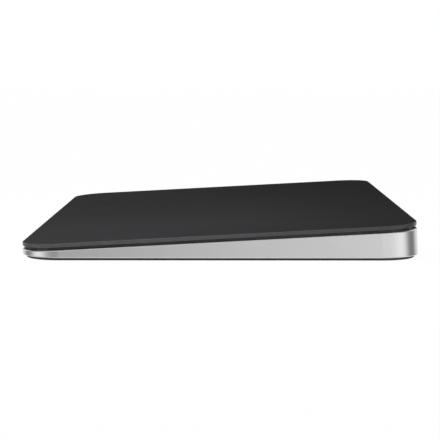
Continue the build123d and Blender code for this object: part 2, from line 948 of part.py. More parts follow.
with BuildPart() as switch_housing:
    with BuildSketch(station(housing_front)):
        with Locations((switch_x, switch_drop)):
            Rectangle(housing_length, housing_height)
        block(switch_x - seat_half, switch_x + seat_half, corner_drop, corner_drop + switch_ear_height)
    extrude(amount=-housing_depth)
    with BuildSketch(station(housing_front - switch_wall)):
        with Locations((switch_x, switch_drop)):
            Rectangle(cavity_length, slider_height + 2 * switch_gap)
    extrude(amount=-slider_depth - 2 * switch_gap, mode=Mode.SUBTRACT)
    with BuildSketch(station(housing_front)):
        with Locations((switch_x, switch_drop)):
            Rectangle(stem_slot_length, stem_height + 2 * switch_gap)
    extrude(amount=-switch_wall, mode=Mode.SUBTRACT)
    with BuildSketch(layer(corner_drop)):
        with Locations(*switch_screw_points):
            Circle(screw_radius + screw_clearance)
    extrude(amount=-switch_ear_height, mode=Mode.SUBTRACT)
pieces["switch_housing"] = switch_housing
pieces["switch_screws"] = screws(
    switch_screw_points,
    corner_drop + switch_ear_height,
    switch_ear_height + screw_bite - screw_clearance,
    True,
)

pin_run = housing_front - housing_depth / 2
with BuildPart() as switch_pins:
    with BuildSketch(layer(housing_bottom)):
        with Locations((switch_x, pin_run)):
            with GridLocations(pin_pitch, pin_length, pin_count, 1):
                Rectangle(pin_width, pin_length)
    extrude(amount=-pin_height)
pieces["switch_pins"] = switch_pins

with BuildPart() as switch_flex:
    flex_high = housing_bottom + pin_height + flex_thickness / 2
    flex_low = logic_board_bottom + flex_thickness / 2
    flex_run = min(pin_run, logic_board_rear) - switch_flex_width / 2
    flex_step = switch_x + housing_length / 2
    flex_turn = flex_step + switch_flex_ramp
    flex_end = max(flex_turn, -logic_board_width / 2) + switch_flex_overlap
    with BuildSketch(station(flex_run + switch_flex_width / 2)):
        with BuildLine():
            FilletPolyline(
                (switch_x - pin_pitch - pin_width, flex_high),
                (flex_step, flex_high),
                (flex_turn, flex_low),
                (flex_end, flex_low),
                radius=antenna_bend,
            )
        trace(line_width=flex_thickness)
    extrude(amount=-switch_flex_width)
pieces["switch_flex"] = switch_flex

# Aluminium enclosure: wedge with a well for the touch plate and bays under its deck
with BuildPart() as enclosure:
    with BuildSketch(layer(rim_drop)):
        outline(0)
    extrude(amount=-wall_reach)
    split(bisect_by=Plane.XY.offset(enclosure_bottom), keep=Keep.TOP)
    chamfer(enclosure.faces().sort_by(out_axis)[-1].edges(), rim_chamfer)
    chamfer(enclosure.faces().sort_by(Axis.Z)[0].edges(), bottom_chamfer)

    # Well for the touch plate
    with BuildSketch(layer(rim_drop)):
        outline(rim_wall)
    extrude(amount=rim_drop - deck_drop, mode=Mode.SUBTRACT)

    # Bays under the deck, with ribs and a seat for the haptic frame left between them
    with BuildSketch(layer(bay_drop)):
        outline(flange_width)
        block(-width, width, 0, front_block, Mode.SUBTRACT)
        seat_side = haptic_half + rib_width
        block(-seat_side, seat_side, haptic_seat_front, bay_front, Mode.SUBTRACT)
        block(-battery_half, battery_half, bay_front - rib_width, bay_front, Mode.SUBTRACT)
        for side in (-1, 1):
            wall = side * (battery_half + rib_width)
            block(side * battery_half, wall, front_block, corner_front, Mode.SUBTRACT)
            block(side * corner_side, side * width, corner_front, slab_length, Mode.SUBTRACT)
    extrude(amount=-wall_reach, mode=Mode.SUBTRACT)
    with BuildSketch(layer(corner_drop)):
        outline(flange_width)
        block(-width, width, 0, corner_front, Mode.SUBTRACT)
    extrude(amount=-wall_reach, mode=Mode.SUBTRACT)

    # Seat and window of the haptic actuator
    with BuildSketch(layer(frame_drop)):
        seat_side = haptic_half + rib_width / 2
        block(-seat_side, seat_side, core_front - running_gap, bay_front)
    extrude(amount=-wall_reach, mode=Mode.SUBTRACT)
    with BuildSketch(layer(deck_drop)):
        window_side = core_back + running_gap
        block(-window_side, window_side, core_front - running_gap, core_rear + running_gap)
    extrude(amount=deck_drop - frame_drop, mode=Mode.SUBTRACT)

    # Bosses for the logic board and the port saddle
    with BuildSketch(layer(bay_drop)):
        with Locations(*board_screw_points, *port_screw_points):
            Circle(boss_radius)
    extrude(amount=-standoff)

    # Wells for the flexures
    with BuildSketch(layer(deck_drop)):
        with Locations(*flexure_points):
            RectangleRounded(
                flexure_length + 2 * flexure_well_gap,
                flexure_width + 2 * flexure_well_gap,
                flexure_round + flexure_well_gap,
            )
    extrude(amount=deck_drop - flexure_seat, mode=Mode.SUBTRACT)
    with BuildSketch(layer(flexure_seat)):
        with Locations(*flexure_points):
            Rectangle(flexure_span, flexure_width + 2 * flexure_well_gap)
    extrude(amount=-flexure_sink, mode=Mode.SUBTRACT)

    # Openings in the deck for the sensor flex and the antenna
    with BuildSketch(layer(deck_drop)):
        block(*sensor_window)
        block(*antenna_slot)
        block(*antenna_window)
    extrude(amount=-deck_thickness, mode=Mode.SUBTRACT)

    # Threaded holes
    with Locations(layer(flexure_seat)):
        with Locations(*flexure_screw_points):
            Hole(screw_radius + screw_clearance, screw_bite)
    with BuildSketch(layer(logic_board_drop)):
        with Locations(*board_screw_points, *port_screw_points):
            Circle(screw_radius + screw_clearance)
    extrude(amount=standoff + deck_thickness, mode=Mode.SUBTRACT)
    with BuildSketch(layer(frame_drop)):
        with Locations(*haptic_screw_points):
            Circle(screw_radius + screw_clearance)
    extrude(amount=screw_bite, mode=Mode.SUBTRACT)
    with BuildSketch(layer(corner_drop)):
        with Locations(*switch_screw_points):
            Circle(screw_radius + screw_clearance)
    extrude(amount=screw_bite, mode=Mode.SUBTRACT)

    # Mouths of the charging port and the power switch in the rear wall
    with BuildSketch(station(slab_length)):
        with Locations((0, shell_drop)):
            SlotOverall(shell_width + 2 * shell_fit, shell_height + 2 * shell_fit)
        with Locations((switch_x, switch_drop)):
            SlotOverall(opening_length, switch_opening_height)
    extrude(amount=-flange_width, mode=Mode.SUBTRACT)
    with BuildSketch(station(slab_length - rear_skin)):
        block(switch_x - seat_half, switch_x + seat_half, corner_drop, housing_bottom + switch_gap)
    extrude(amount=rear_skin - flange_width, mode=Mode.SUBTRACT)
    rear_face = enclosure.faces().sort_by(up_slope_axis)[-1]
    chamfer(rear_face.inner_wires().edges(), port_chamfer)
pieces["enclosure"] = enclosure

# Base plate, its adhesive ring and the feet
footprint_front = drop_at(enclosure_bottom, 0) * math.sin(slope) - depth / 2
footprint_rear = depth / 2
footprint_middle = (footprint_front + footprint_rear) / 2


def footprint(inset, mode=Mode.ADD):
    """Rounded outline of the enclosure's foot, drawn in by the inset, in the open sketch."""
    with Locations((0, footprint_middle)):
        RectangleRounded(
            width - 2 * inset,
            footprint_rear - footprint_front - 2 * inset,
            corner_radius - inset,
            mode=mode,
        )


foot_places = {
    "front_left": (foot_side - width / 2, footprint_front + foot_end),
    "front_right": (width / 2 - foot_side, footprint_front + foot_end),
    "rear_left": (foot_side - width / 2, footprint_rear - foot_end),
    "rear_right": (width / 2 - foot_side, footprint_rear - foot_end),
}

with BuildPart() as base_plate:
    with BuildSketch(Plane.XY.offset(foot_height)):
        footprint(base_inset)
    extrude(amount=base_thickness)
    fillet(base_plate.faces().sort_by(Axis.Z)[0].edges(), base_round)
    with BuildSketch(Plane.XY.offset(foot_height)):
        with Locations(*foot_places.values()):
            Circle(foot_radius + foot_fit)
    extrude(amount=foot_recess, mode=Mode.SUBTRACT)
pieces["base_plate"] = base_plate

with BuildPart() as base_adhesive:
    with BuildSketch(Plane.XY.offset(base_top)):
        footprint(base_inset + base_adhesive_margin)
        footprint(flange_width - base_adhesive_margin, Mode.SUBTRACT)
    extrude(amount=base_adhesive_thickness)
pieces["base_adhesive"] = base_adhesive


def make_foot(place):
    """Rubber disc with a rounded lower edge, stuck in a recess of the base plate."""
    with BuildPart() as foot:
        with BuildSketch():
            with Locations(place):
                Circle(foot_radius)
        extrude(amount=foot_height + foot_recess)
        fillet(foot.edges().sort_by(Axis.Z)[0], foot_round)
    return foot


for corner, place in foot_places.items():
    pieces["foot_" + corner] = make_foot(place)

os.makedirs("parts", exist_ok=True)
for label, piece in pieces.items():
    piece.part.label = label
    export_step(piece.part, os.path.join("parts", label + ".step"))
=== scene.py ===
import json
import math

import bmesh
import bpy
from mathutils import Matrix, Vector


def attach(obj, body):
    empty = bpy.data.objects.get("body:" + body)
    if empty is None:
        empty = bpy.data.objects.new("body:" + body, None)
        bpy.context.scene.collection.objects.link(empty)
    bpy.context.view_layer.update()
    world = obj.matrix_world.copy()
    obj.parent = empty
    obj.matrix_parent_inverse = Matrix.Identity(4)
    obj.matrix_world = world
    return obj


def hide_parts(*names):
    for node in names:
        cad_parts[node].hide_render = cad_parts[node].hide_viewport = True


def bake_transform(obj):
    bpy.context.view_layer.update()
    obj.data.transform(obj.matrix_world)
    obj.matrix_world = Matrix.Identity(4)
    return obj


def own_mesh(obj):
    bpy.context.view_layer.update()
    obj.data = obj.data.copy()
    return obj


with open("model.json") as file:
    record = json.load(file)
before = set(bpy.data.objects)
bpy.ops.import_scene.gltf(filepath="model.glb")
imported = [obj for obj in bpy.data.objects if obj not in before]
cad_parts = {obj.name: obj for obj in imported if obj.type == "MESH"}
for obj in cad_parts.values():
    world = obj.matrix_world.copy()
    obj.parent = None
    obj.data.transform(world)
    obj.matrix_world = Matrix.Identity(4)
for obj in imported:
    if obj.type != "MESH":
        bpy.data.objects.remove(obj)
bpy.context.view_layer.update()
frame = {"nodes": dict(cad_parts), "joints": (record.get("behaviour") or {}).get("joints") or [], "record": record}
cadNodes = frame["nodes"]
mm = 0.001
weldDistance = 0.0005 * mm  # closer than this, two points are one
print("frame loaded:", len(cadNodes), "nodes")

# The glass and the body follow one slope, which the press joint's axis gives
pressAxis = next(Vector(j["axis"]) for j in frame["joints"] if j["name"] == "touch_press")
outWay = -pressAxis.normalized()
acrossWay = Vector((1, 0, 0))
upWay = outWay.cross(acrossWay)


def fromSlope(across, run, out):
    return acrossWay * across + upWay * run + outWay * out


def ontoSlope(point):
    return (point.dot(acrossWay), point.dot(upWay), point.dot(outWay))


def boxOf(rows):
    # lowest and highest corner of some points
    return [min(c) for c in zip(*rows)], [max(c) for c in zip(*rows)]


def slopeBox(node):
    # the box of a node, measured along the slope's own axes
    return boxOf([ontoSlope(vertex.co) for vertex in cadNodes[node].data.vertices])


# Shader groups

textures = {
    "grainDetail": 3.0,
    "markDetail": 4.0,
    "markRoughness": 0.6,
    "markRange": (0.35, 0.7),  # noise, from clean to touched
    "tintDetail": 8.0,
    "tintRoughness": 0.7,
    "trackRange": (0.2, 0.28),  # share of the pitch, from bare board to conductor
    "trackStrength": 0.5,
}


def newGroup(name, inputs, outputs):
    group = bpy.data.node_groups.new(name, "ShaderNodeTree")
    for label, kind, value in inputs:
        socket = group.interface.new_socket(label, in_out="INPUT", socket_type=kind)
        if value is not None:
            socket.default_value = value
    for label, kind in outputs:
        group.interface.new_socket(label, in_out="OUTPUT", socket_type=kind)
    return group, group.nodes.new("NodeGroupInput").outputs, group.nodes.new("NodeGroupOutput")


def addNode(tree, kind, **settings):
    node = tree.nodes.new(kind)
    for key, value in settings.items():
        setattr(node, key, value)
    return node


def setNode(tree, kind, values, **settings):
    # a node with its inputs linked to other nodes' outputs or set to plain values
    node = addNode(tree, kind, **settings)
    for key, value in values.items():
        if isinstance(value, bpy.types.NodeSocket):
            tree.links.new(value, node.inputs[key])
        else:
            node.inputs[key].default_value = value
    return node


def mathNode(tree, operation, first, second=0.0):
    return setNode(tree, "ShaderNodeMath", {0: first, 1: second}, operation=operation).outputs["Value"]


def rangeNode(tree, source, low, high, lowValue=0.0, highValue=1.0, kind="SMOOTHSTEP"):
    values = {"Value": source, "From Min": low, "From Max": high, "To Min": lowValue, "To Max": highValue}
    return setNode(tree, "ShaderNodeMapRange", values, interpolation_type=kind).outputs["Result"]


def mixValues(tree, factor, first, second, kind="FLOAT"):
    values = {"Factor": factor, "A": first, "B": second}
    return setNode(tree, "ShaderNodeMix", values, data_type=kind).outputs["Result"]


def buildGrain():
    # fine even grain, as bead blasting, etching or moulded texture leaves it
    group, given, gOut = newGroup(
        "fineGrain",
        [
            ("Vector", "NodeSocketVector", None),
            ("Scale", "NodeSocketFloat", 4000.0),
            ("Soften", "NodeSocketFloat", 0.5),
        ],
        [("Height", "NodeSocketFloat")],
    )
    values = {"Vector": given["Vector"], "Scale": given["Scale"]}
    cells = setNode(group, "ShaderNodeTexVoronoi", values, feature="SMOOTH_F1").outputs["Distance"]
    values["Detail"] = textures["grainDetail"]
    fine = setNode(group, "ShaderNodeTexNoise", values).outputs["Fac"]
    group.links.new(mixValues(group, given["Soften"], cells, fine), gOut.inputs["Height"])
    return group


def buildHandling():
    # slow uneven patches, as handling and dust leave them: a value between clean and touched
    group, given, gOut = newGroup(
        "handlingMarks",
        [
            ("Vector", "NodeSocketVector", None),
            ("Scale", "NodeSocketFloat", 60.0),
            ("Clean", "NodeSocketFloat", 0.4),
            ("Touched", "NodeSocketFloat", 0.5),
        ],
        [("Value", "NodeSocketFloat")],
    )
    patches = setNode(group, "ShaderNodeTexNoise", {
        "Vector": given["Vector"],
        "Scale": given["Scale"],
        "Detail": textures["markDetail"],
        "Roughness": textures["markRoughness"],
    }).outputs["Fac"]
    spread = rangeNode(group, patches, *textures["markRange"])
    group.links.new(mixValues(group, spread, given["Clean"], given["Touched"]), gOut.inputs["Value"])
    return group


def buildTint():
    # slow drift between two colours, with a fine speckle over it
    group, given, gOut = newGroup(
        "unevenTint",
        [
            ("Vector", "NodeSocketVector", None),
            ("Scale", "NodeSocketFloat", 90.0),
            ("Light Color", "NodeSocketColor", (0.8, 0.8, 0.8, 1.0)),
            ("Dark Color", "NodeSocketColor", (0.7, 0.7, 0.7, 1.0)),
        ],
        [("Color", "NodeSocketColor")],
    )
    drift = setNode(group, "ShaderNodeTexNoise", {
        "Vector": given["Vector"],
        "Scale": given["Scale"],
        "Detail": textures["tintDetail"],
        "Roughness": textures["tintRoughness"],
    }).outputs["Fac"]
    tint = mixValues(group, drift, given["Light Color"], given["Dark Color"], "RGBA")
    group.links.new(tint, gOut.inputs["Color"])
    return group


def buildTracks():
    # bundles of fine conductors, some along and some across, as on a circuit board
    group, given, gOut = newGroup(
        "copperTracks",
        [
            ("Vector", "NodeSocketVector", None),
            ("Pitch", "NodeSocketFloat", 0.0005),
            ("Patch Scale", "NodeSocketFloat", 300.0),
            ("Cross Share", "NodeSocketFloat", 0.5),
        ],
        [("Mask", "NodeSocketFloat")],
    )
    split = setNode(group, "ShaderNodeSeparateXYZ", {"Vector": given["Vector"]}).outputs
    values = {"Vector": given["Vector"], "Scale": given["Patch Scale"]}
    patch = setNode(group, "ShaderNodeTexVoronoi", values, distance="CHEBYCHEV").outputs["Color"]
    cross = mathNode(group, "LESS_THAN", patch, given["Cross Share"])
    place = mixValues(group, cross, split["X"], split["Y"])
    step = mathNode(group, "FRACT", mathNode(group, "DIVIDE", place, given["Pitch"]))
    wave = mathNode(group, "ABSOLUTE", mathNode(group, "SUBTRACT", step, 0.5))
    group.links.new(rangeNode(group, wave, *textures["trackRange"]), gOut.inputs["Mask"])
    return group


grainGroup = buildGrain()
handlingGroup = buildHandling()
tintGroup = buildTint()
trackGroup = buildTracks()
print("shader groups built")


# Finishes

plainLook = {
    "metal": 0.0,
    "specular": 0.5,
    "stretch": (1.0, 1.0, 1.0),
    "soften": 0.5,
    "depth": 0.01,  # of the grain, in millimetres
}


def grey(value, shift=0.0):
    return (value, value, value + shift, 1.0)


def groupNode(tree, group, **values):
    values = {key.replace("_", " "): value for key, value in values.items()}
    return setNode(tree, "ShaderNodeGroup", values, node_tree=group).outputs[0]


def addTracks(tree, spot, color, normal, look):
    # conductors that show under the surface, a little raised
    values = {"Patch_Scale": look["patch"], "Cross_Share": look["crossShare"]}
    mask = groupNode(tree, trackGroup, Vector=spot, Pitch=look["pitch"], **values)
    relief = setNode(tree, "ShaderNodeBump", {
        "Strength": textures["trackStrength"],
        "Distance": look["relief"],
        "Height": mask,
        "Normal": normal,
    }).outputs["Normal"]
    return mixValues(tree, mask, color, look["color"], "RGBA"), relief


def finishedMaterial(name, look):
    # one Principled surface: uneven tint, handling marks in the roughness, fine grain in the bump
    look = {**plainLook, **look}
    material = bpy.data.materials.new(name)
    material.use_nodes = True
    tree = material.node_tree
    values = {"Vector": addNode(tree, "ShaderNodeTexCoord").outputs["Object"], "Scale": look["stretch"]}
    spot = setNode(tree, "ShaderNodeMapping", values).outputs["Vector"]
    values = {"Light_Color": look["light"], "Dark_Color": look["dark"]}
    color = groupNode(tree, tintGroup, Vector=spot, Scale=look["patch"], **values)
    values = {"Clean": look["clean"], "Touched": look["touched"]}
    roughness = groupNode(tree, handlingGroup, Vector=spot, Scale=look["patch"] / 2, **values)
    height = groupNode(tree, grainGroup, Vector=spot, Scale=look["grain"], Soften=look["soften"])
    values = {"Strength": look["bump"], "Distance": look["depth"] * mm, "Height": height}
    normal = setNode(tree, "ShaderNodeBump", values).outputs["Normal"]
    if "tracks" in look:
        color, normal = addTracks(tree, spot, color, normal, look["tracks"])
    shader = tree.nodes["Principled BSDF"]
    for label, source in (("Base Color", color), ("Roughness", roughness), ("Normal", normal)):
        tree.links.new(source, shader.inputs[label])
    shader.inputs["Metallic"].default_value = look["metal"]
    shader.inputs["Specular IOR Level"].default_value = look["specular"]
    return material


# light and dark are the ends of the tint, clean and touched those of the roughness; patch and grain
# are how many patches and grains go to a metre, and bump is how strongly the grain shows
finishes = {
    "silver_aluminium": dict(
        light=grey(0.79, 0.004), dark=grey(0.74, 0.004), metal=1.0, clean=0.3, touched=0.34,
        patch=70, grain=5200, bump=0.25, depth=0.02,
    ),
    "knob_aluminium": dict(
        light=grey(0.8), dark=grey(0.74), metal=1.0, clean=0.26, touched=0.34, patch=400, grain=6000,
        bump=0.2,
    ),
    "base_plastic": dict(
        light=grey(0.022), dark=grey(0.015), clean=0.5, touched=0.6, patch=90, grain=2600, bump=0.5,
        depth=0.03,
    ),
    "foot_rubber": dict(
        light=grey(0.03), dark=grey(0.02), clean=0.7, touched=0.85, patch=300, grain=3000, bump=0.5,
        depth=0.03,
    ),
    "clear_adhesive": dict(
        light=grey(0.09), dark=grey(0.05), clean=0.3, touched=0.45, patch=200, grain=1500, bump=0.3,
    ),
    "stainless_steel": dict(
        light=grey(0.62), dark=grey(0.52), metal=1.0, clean=0.28, touched=0.4, patch=60, grain=2500, bump=0.4,
        stretch=(0.06, 1.0, 1.0),
    ),
    "spring_steel": dict(
        light=grey(0.5), dark=grey(0.4), metal=1.0, clean=0.25, touched=0.36, patch=120, grain=3000, bump=0.3,
        stretch=(0.05, 1.0, 1.0),
    ),
    "screw_steel": dict(
        light=grey(0.55, 0.02), dark=grey(0.4), metal=1.0, clean=0.2, touched=0.4, patch=900, grain=5000,
        bump=0.2,
    ),
    "pad_gel": dict(
        light=(0.2, 0.2, 0.23, 1), dark=(0.13, 0.13, 0.15, 1), clean=0.25, touched=0.4, patch=300,
        grain=900, bump=0.4,
    ),
    "gauge_foil": dict(
        light=(0.5, 0.23, 0.05, 1), dark=(0.36, 0.14, 0.03, 1), clean=0.25, touched=0.35, patch=300,
        grain=2000, bump=0.2,
    ),
    "chip_black": dict(
        light=grey(0.03), dark=grey(0.018), clean=0.45, touched=0.6, patch=500, grain=5000, bump=0.5,
    ),
    "capacitor_brown": dict(
        light=(0.4, 0.26, 0.16, 1), dark=(0.3, 0.18, 0.1, 1), clean=0.35, touched=0.5, patch=1500, grain=6000,
        bump=0.3,
    ),
    "plug_white": dict(
        light=(0.75, 0.7, 0.6, 1), dark=(0.62, 0.57, 0.48, 1), clean=0.4, touched=0.5, patch=500, grain=3000,
        bump=0.3,
    ),
    "core_steel": dict(
        light=grey(0.36), dark=grey(0.24), metal=1.0, clean=0.35, touched=0.5, patch=150, grain=2400,
        bump=0.7, stretch=(0.1, 0.1, 2.0),
    ),
    "bobbin_plastic": dict(
        light=grey(0.045), dark=grey(0.03), clean=0.35, touched=0.5, patch=400, grain=3000, bump=0.4,
    ),
    "coil_copper": dict(
        light=(0.82, 0.36, 0.16, 1), dark=(0.6, 0.22, 0.09, 1), metal=1.0, clean=0.22, touched=0.35,
        patch=600, grain=4000, bump=0.2,
    ),
    "cell_pouch": dict(
        light=grey(0.12), dark=grey(0.08), clean=0.3, touched=0.45, patch=80, grain=900, bump=0.6, depth=0.05,
    ),
    "tab_nickel": dict(
        light=(0.72, 0.68, 0.6, 1), dark=(0.6, 0.56, 0.5, 1), metal=1.0, clean=0.22, touched=0.35, patch=300,
        grain=3000, bump=0.3,
    ),
    "port_steel": dict(
        light=grey(0.6), dark=grey(0.5), metal=1.0, clean=0.2, touched=0.32, patch=300, grain=3000, bump=0.2,
    ),
    "tongue_plastic": dict(
        light=grey(0.03), dark=grey(0.02), clean=0.35, touched=0.5, patch=500, grain=3000, bump=0.3,
    ),
    "contact_gold": dict(
        light=(0.9, 0.66, 0.3, 1), dark=(0.78, 0.54, 0.22, 1), metal=1.0, clean=0.18, touched=0.3, patch=900,
        grain=5000, bump=0.15,
    ),
    "label_green": dict(
        light=(0.05, 0.5, 0.1, 1), dark=(0.03, 0.4, 0.07, 1), clean=0.3, touched=0.4, patch=500,
        grain=3000, bump=0.1,
    ),
    "black_board": dict(
        light=(0.012, 0.02, 0.016, 1), dark=(0.02, 0.032, 0.026, 1), clean=0.3, touched=0.42, patch=250,
        grain=2200, bump=0.3,
        tracks=dict(
            pitch=0.5 * mm, patch=220, crossShare=0.5, color=(0.03, 0.055, 0.042, 1), relief=0.03 * mm,
        ),
    ),
    "black_glass": dict(
        light=grey(0.012), dark=grey(0.01), clean=0.5, touched=0.54, patch=25, grain=6000, bump=0.1,
    ),
}

slotOf = {p["node"]: p["material_slot"] for p in frame["record"]["subparts"]}
materials = {name: finishedMaterial(name + "_finish", look) for name, look in finishes.items()}
for name, obj in cadNodes.items():
    obj.material_slots[0].material = materials[slotOf[name]]
print("finishes built:", len(materials))


# Glass top

glassLook = {
    "cornerRadius": 11.35 * mm,
    "topRound": 0.2 * mm,
    "bottomRound": 0.45 * mm,
    "cornerSteps": 40,
    "roundSteps": 6,
    "smoothAngle": 40,
    "topLimit": 0.9,  # how squarely a face looks out to count as the etched top
    "underLimit": -0.5,  # and as the inked underside
}

glassFinishes = {
    "etched_glass_top": dict(
        light=grey(0.0105, 0.0008), dark=grey(0.0082, 0.0008), clean=0.48, touched=0.54, patch=22, grain=7000,
        bump=0.1, specular=0.09,
    ),
    "ground_glass_edge": dict(
        light=grey(0.051, 0.002), dark=grey(0.045, 0.002), clean=0.3, touched=0.36, patch=40, grain=5000,
        bump=0.15, specular=0.25,
    ),
    "ink_under_glass": dict(
        light=grey(0.012), dark=grey(0.009), clean=0.4, touched=0.5, patch=60, grain=3000, bump=0.15,
    ),
}


def roundedLoop(low, high, radius, inset, steps):
    # points round a rectangle with round corners, drawn in by the inset
    reach = max(radius, inset)
    turn = reach - inset
    centres = [
        (high[0] - reach, high[1] - reach, 0.0),
        (low[0] + reach, high[1] - reach, 0.5 * math.pi),
        (low[0] + reach, low[1] + reach, math.pi),
        (high[0] - reach, low[1] + reach, 1.5 * math.pi),
    ]
    loop = []
    for x, run, start in centres:
        for step in range(steps + 1):
            angle = start + 0.5 * math.pi * step / steps
            loop.append((x + turn * math.cos(angle), run + turn * math.sin(angle)))
    return loop


def leveledRings(low, high, radius, levels, steps):
    # one rounded ring for each pair of inset and height
    rings = []
    for inset, height in levels:
        loop = roundedLoop(low, high, radius, inset, steps)
        rings.append([(x, run, height) for x, run in loop])
    return rings


def stackedMesh(name, *stacks):
    # a stack is rings of points in the slope's axes, from the lowest to the highest, capped at both ends
    bm = bmesh.new()
    for rings in stacks:
        rows = [[bm.verts.new(fromSlope(*point)) for point in ring] for ring in rings]
        count = len(rings[0])
        for lower, upper in zip(rows, rows[1:]):
            for i in range(count):
                j = (i + 1) % count
                bm.faces.new((lower[i], lower[j], upper[j], upper[i]))
        bm.faces.new(rows[-1])
        bm.faces.new(list(reversed(rows[0])))
    bmesh.ops.remove_doubles(bm, verts=bm.verts, dist=weldDistance)
    mesh = bpy.data.meshes.new(name)
    bm.to_mesh(mesh)
    bm.free()
    obj = bpy.data.objects.new(name, mesh)
    bpy.context.scene.collection.objects.link(obj)
    return obj


def smoothByAngle(obj, degrees):
    obj.data.shade_smooth()
    obj.data.set_sharp_from_angle(angle=math.radians(degrees))
    weighted = obj.modifiers.new("weightedNormals", "WEIGHTED_NORMAL")
    weighted.keep_sharp = True


def buildGlass():
    low, high = slopeBox("top_glass")
    steps = glassLook["roundSteps"]
    levels = []  # inset and height of each ring
    for step in range(steps + 1):
        angle = 0.5 * math.pi * step / steps
        size = glassLook["bottomRound"]
        levels.append((size * (1 - math.sin(angle)), low[2] + size * (1 - math.cos(angle))))
    for step in range(steps + 1):
        angle = 0.5 * math.pi * step / steps
        size = glassLook["topRound"]
        levels.append((size * (1 - math.cos(angle)), high[2] - size * (1 - math.sin(angle))))
    rings = leveledRings(low, high, glassLook["cornerRadius"], levels, glassLook["cornerSteps"])
    glass = stackedMesh("touch_glass", rings)
    for name, look in glassFinishes.items():
        glass.data.materials.append(finishedMaterial(name, look))
    for face in glass.data.polygons:
        rise = face.normal.dot(outWay)
        isTop, isUnder = rise > glassLook["topLimit"], rise < glassLook["underLimit"]
        face.material_index = 0 if isTop else 2 if isUnder else 1
    smoothByAngle(glass, glassLook["smoothAngle"])
    return glass


glass = buildGlass()
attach(glass, "touch_plate")
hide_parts("top_glass")
print("glass built")


# What repeats: screws, capacitors and coil turns, grown by Geometry Nodes in the slope's own axes

slopeAngle = math.atan2(upWay.z, upWay.y)


def newGeometry(name, inputs):
    tree = bpy.data.node_groups.new(name, "GeometryNodeTree")
    tree.interface.new_socket("Geometry", in_out="INPUT", socket_type="NodeSocketGeometry")
    for label, kind, value in inputs:
        socket = tree.interface.new_socket(label, in_out="INPUT", socket_type=kind)
        if value is not None:
            socket.default_value = value
    tree.interface.new_socket("Geometry", in_out="OUTPUT", socket_type="NodeSocketGeometry")
    return tree, tree.nodes.new("NodeGroupInput").outputs, tree.nodes.new("NodeGroupOutput")


def pointVector(tree, x=0.0, y=0.0, z=0.0):
    return setNode(tree, "ShaderNodeCombineXYZ", {"X": x, "Y": y, "Z": z}).outputs["Vector"]


def moved(tree, geometry, **values):
    values = {key.capitalize(): value for key, value in values.items()}
    return setNode(tree, "GeometryNodeTransform", {"Geometry": geometry, **values}).outputs["Geometry"]


def joined(tree, *parts):
    join = addNode(tree, "GeometryNodeJoinGeometry")
    for part in parts:
        tree.links.new(part, join.inputs["Geometry"])
    return join.outputs["Geometry"]


def finishedEnd(tree, geometry, slope, material):
    # turns the result onto the slope, makes it real and gives it its material
    placed = moved(tree, geometry, rotation=pointVector(tree, slope))
    real = setNode(tree, "GeometryNodeRealizeInstances", {"Geometry": placed}).outputs["Geometry"]
    values = {"Geometry": real, "Material": material}
    return setNode(tree, "GeometryNodeSetMaterial", values).outputs["Geometry"]


def grownPiece(name, tree, values, points=()):
    # a plain mesh from the tree, standing on the given points where it needs some
    seeds = bpy.data.meshes.new(name + "_seeds")
    seeds.from_pydata(points, [], [])
    grown = bpy.data.objects.new(name, seeds)
    bpy.context.scene.collection.objects.link(grown)
    modifier = grown.modifiers.new(tree.name, "NODES")
    modifier.node_group = tree
    for item in tree.interface.items_tree:
        if item.in_out == "INPUT" and item.name in values:
            modifier[item.identifier] = values[item.name]
    depsgraph = bpy.context.evaluated_depsgraph_get()
    mesh = bpy.data.meshes.new_from_object(grown.evaluated_get(depsgraph))
    mesh.name = name
    for index in reversed(range(len(mesh.materials))):
        if mesh.materials[index] is None:  # left empty by the join, used by no face
            mesh.materials.pop(index=index)
    grown.modifiers.remove(modifier)
    grown.data = mesh
    bpy.data.meshes.remove(seeds)
    return grown


bodyOf = {node: body for body, nodes in frame["record"]["behaviour"]["bodies"].items() for node in nodes}


def standFor(piece, node):
    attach(piece, bodyOf[node])
    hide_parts(node)


def solidRows(node):
    # the vertices of each separate solid of a node, in the slope's axes
    bm = bmesh.new()
    bm.from_mesh(cadNodes[node].data)
    bmesh.ops.remove_doubles(bm, verts=bm.verts, dist=weldDistance)
    left = set(bm.verts)
    solids = []
    while left:
        front = [left.pop()]
        rows = []
        while front:
            vert = front.pop()
            rows.append(ontoSlope(vert.co))
            for edge in vert.link_edges:
                other = edge.other_vert(vert)
                if other in left:
                    left.remove(other)
                    front.append(other)
        solids.append(rows)
    bm.free()
    return sorted(solids)


# Screws

screwLook = {
    "headRadius": 1.35 * mm,
    "headHeight": 0.4 * mm,
    "shankRadius": 0.7 * mm,
    "threadPitch": 0.4 * mm,
    "threadDepth": 0.12 * mm,
    "recessWidth": 0.35 * mm,
    "recessDepth": 0.22 * mm,
    "headSegments": 32,
    "headRings": 24,
    "shankSides": 24,
    "turnSteps": 20,
    "ridgeSides": 6,
    "smoothAngle": 35,
}


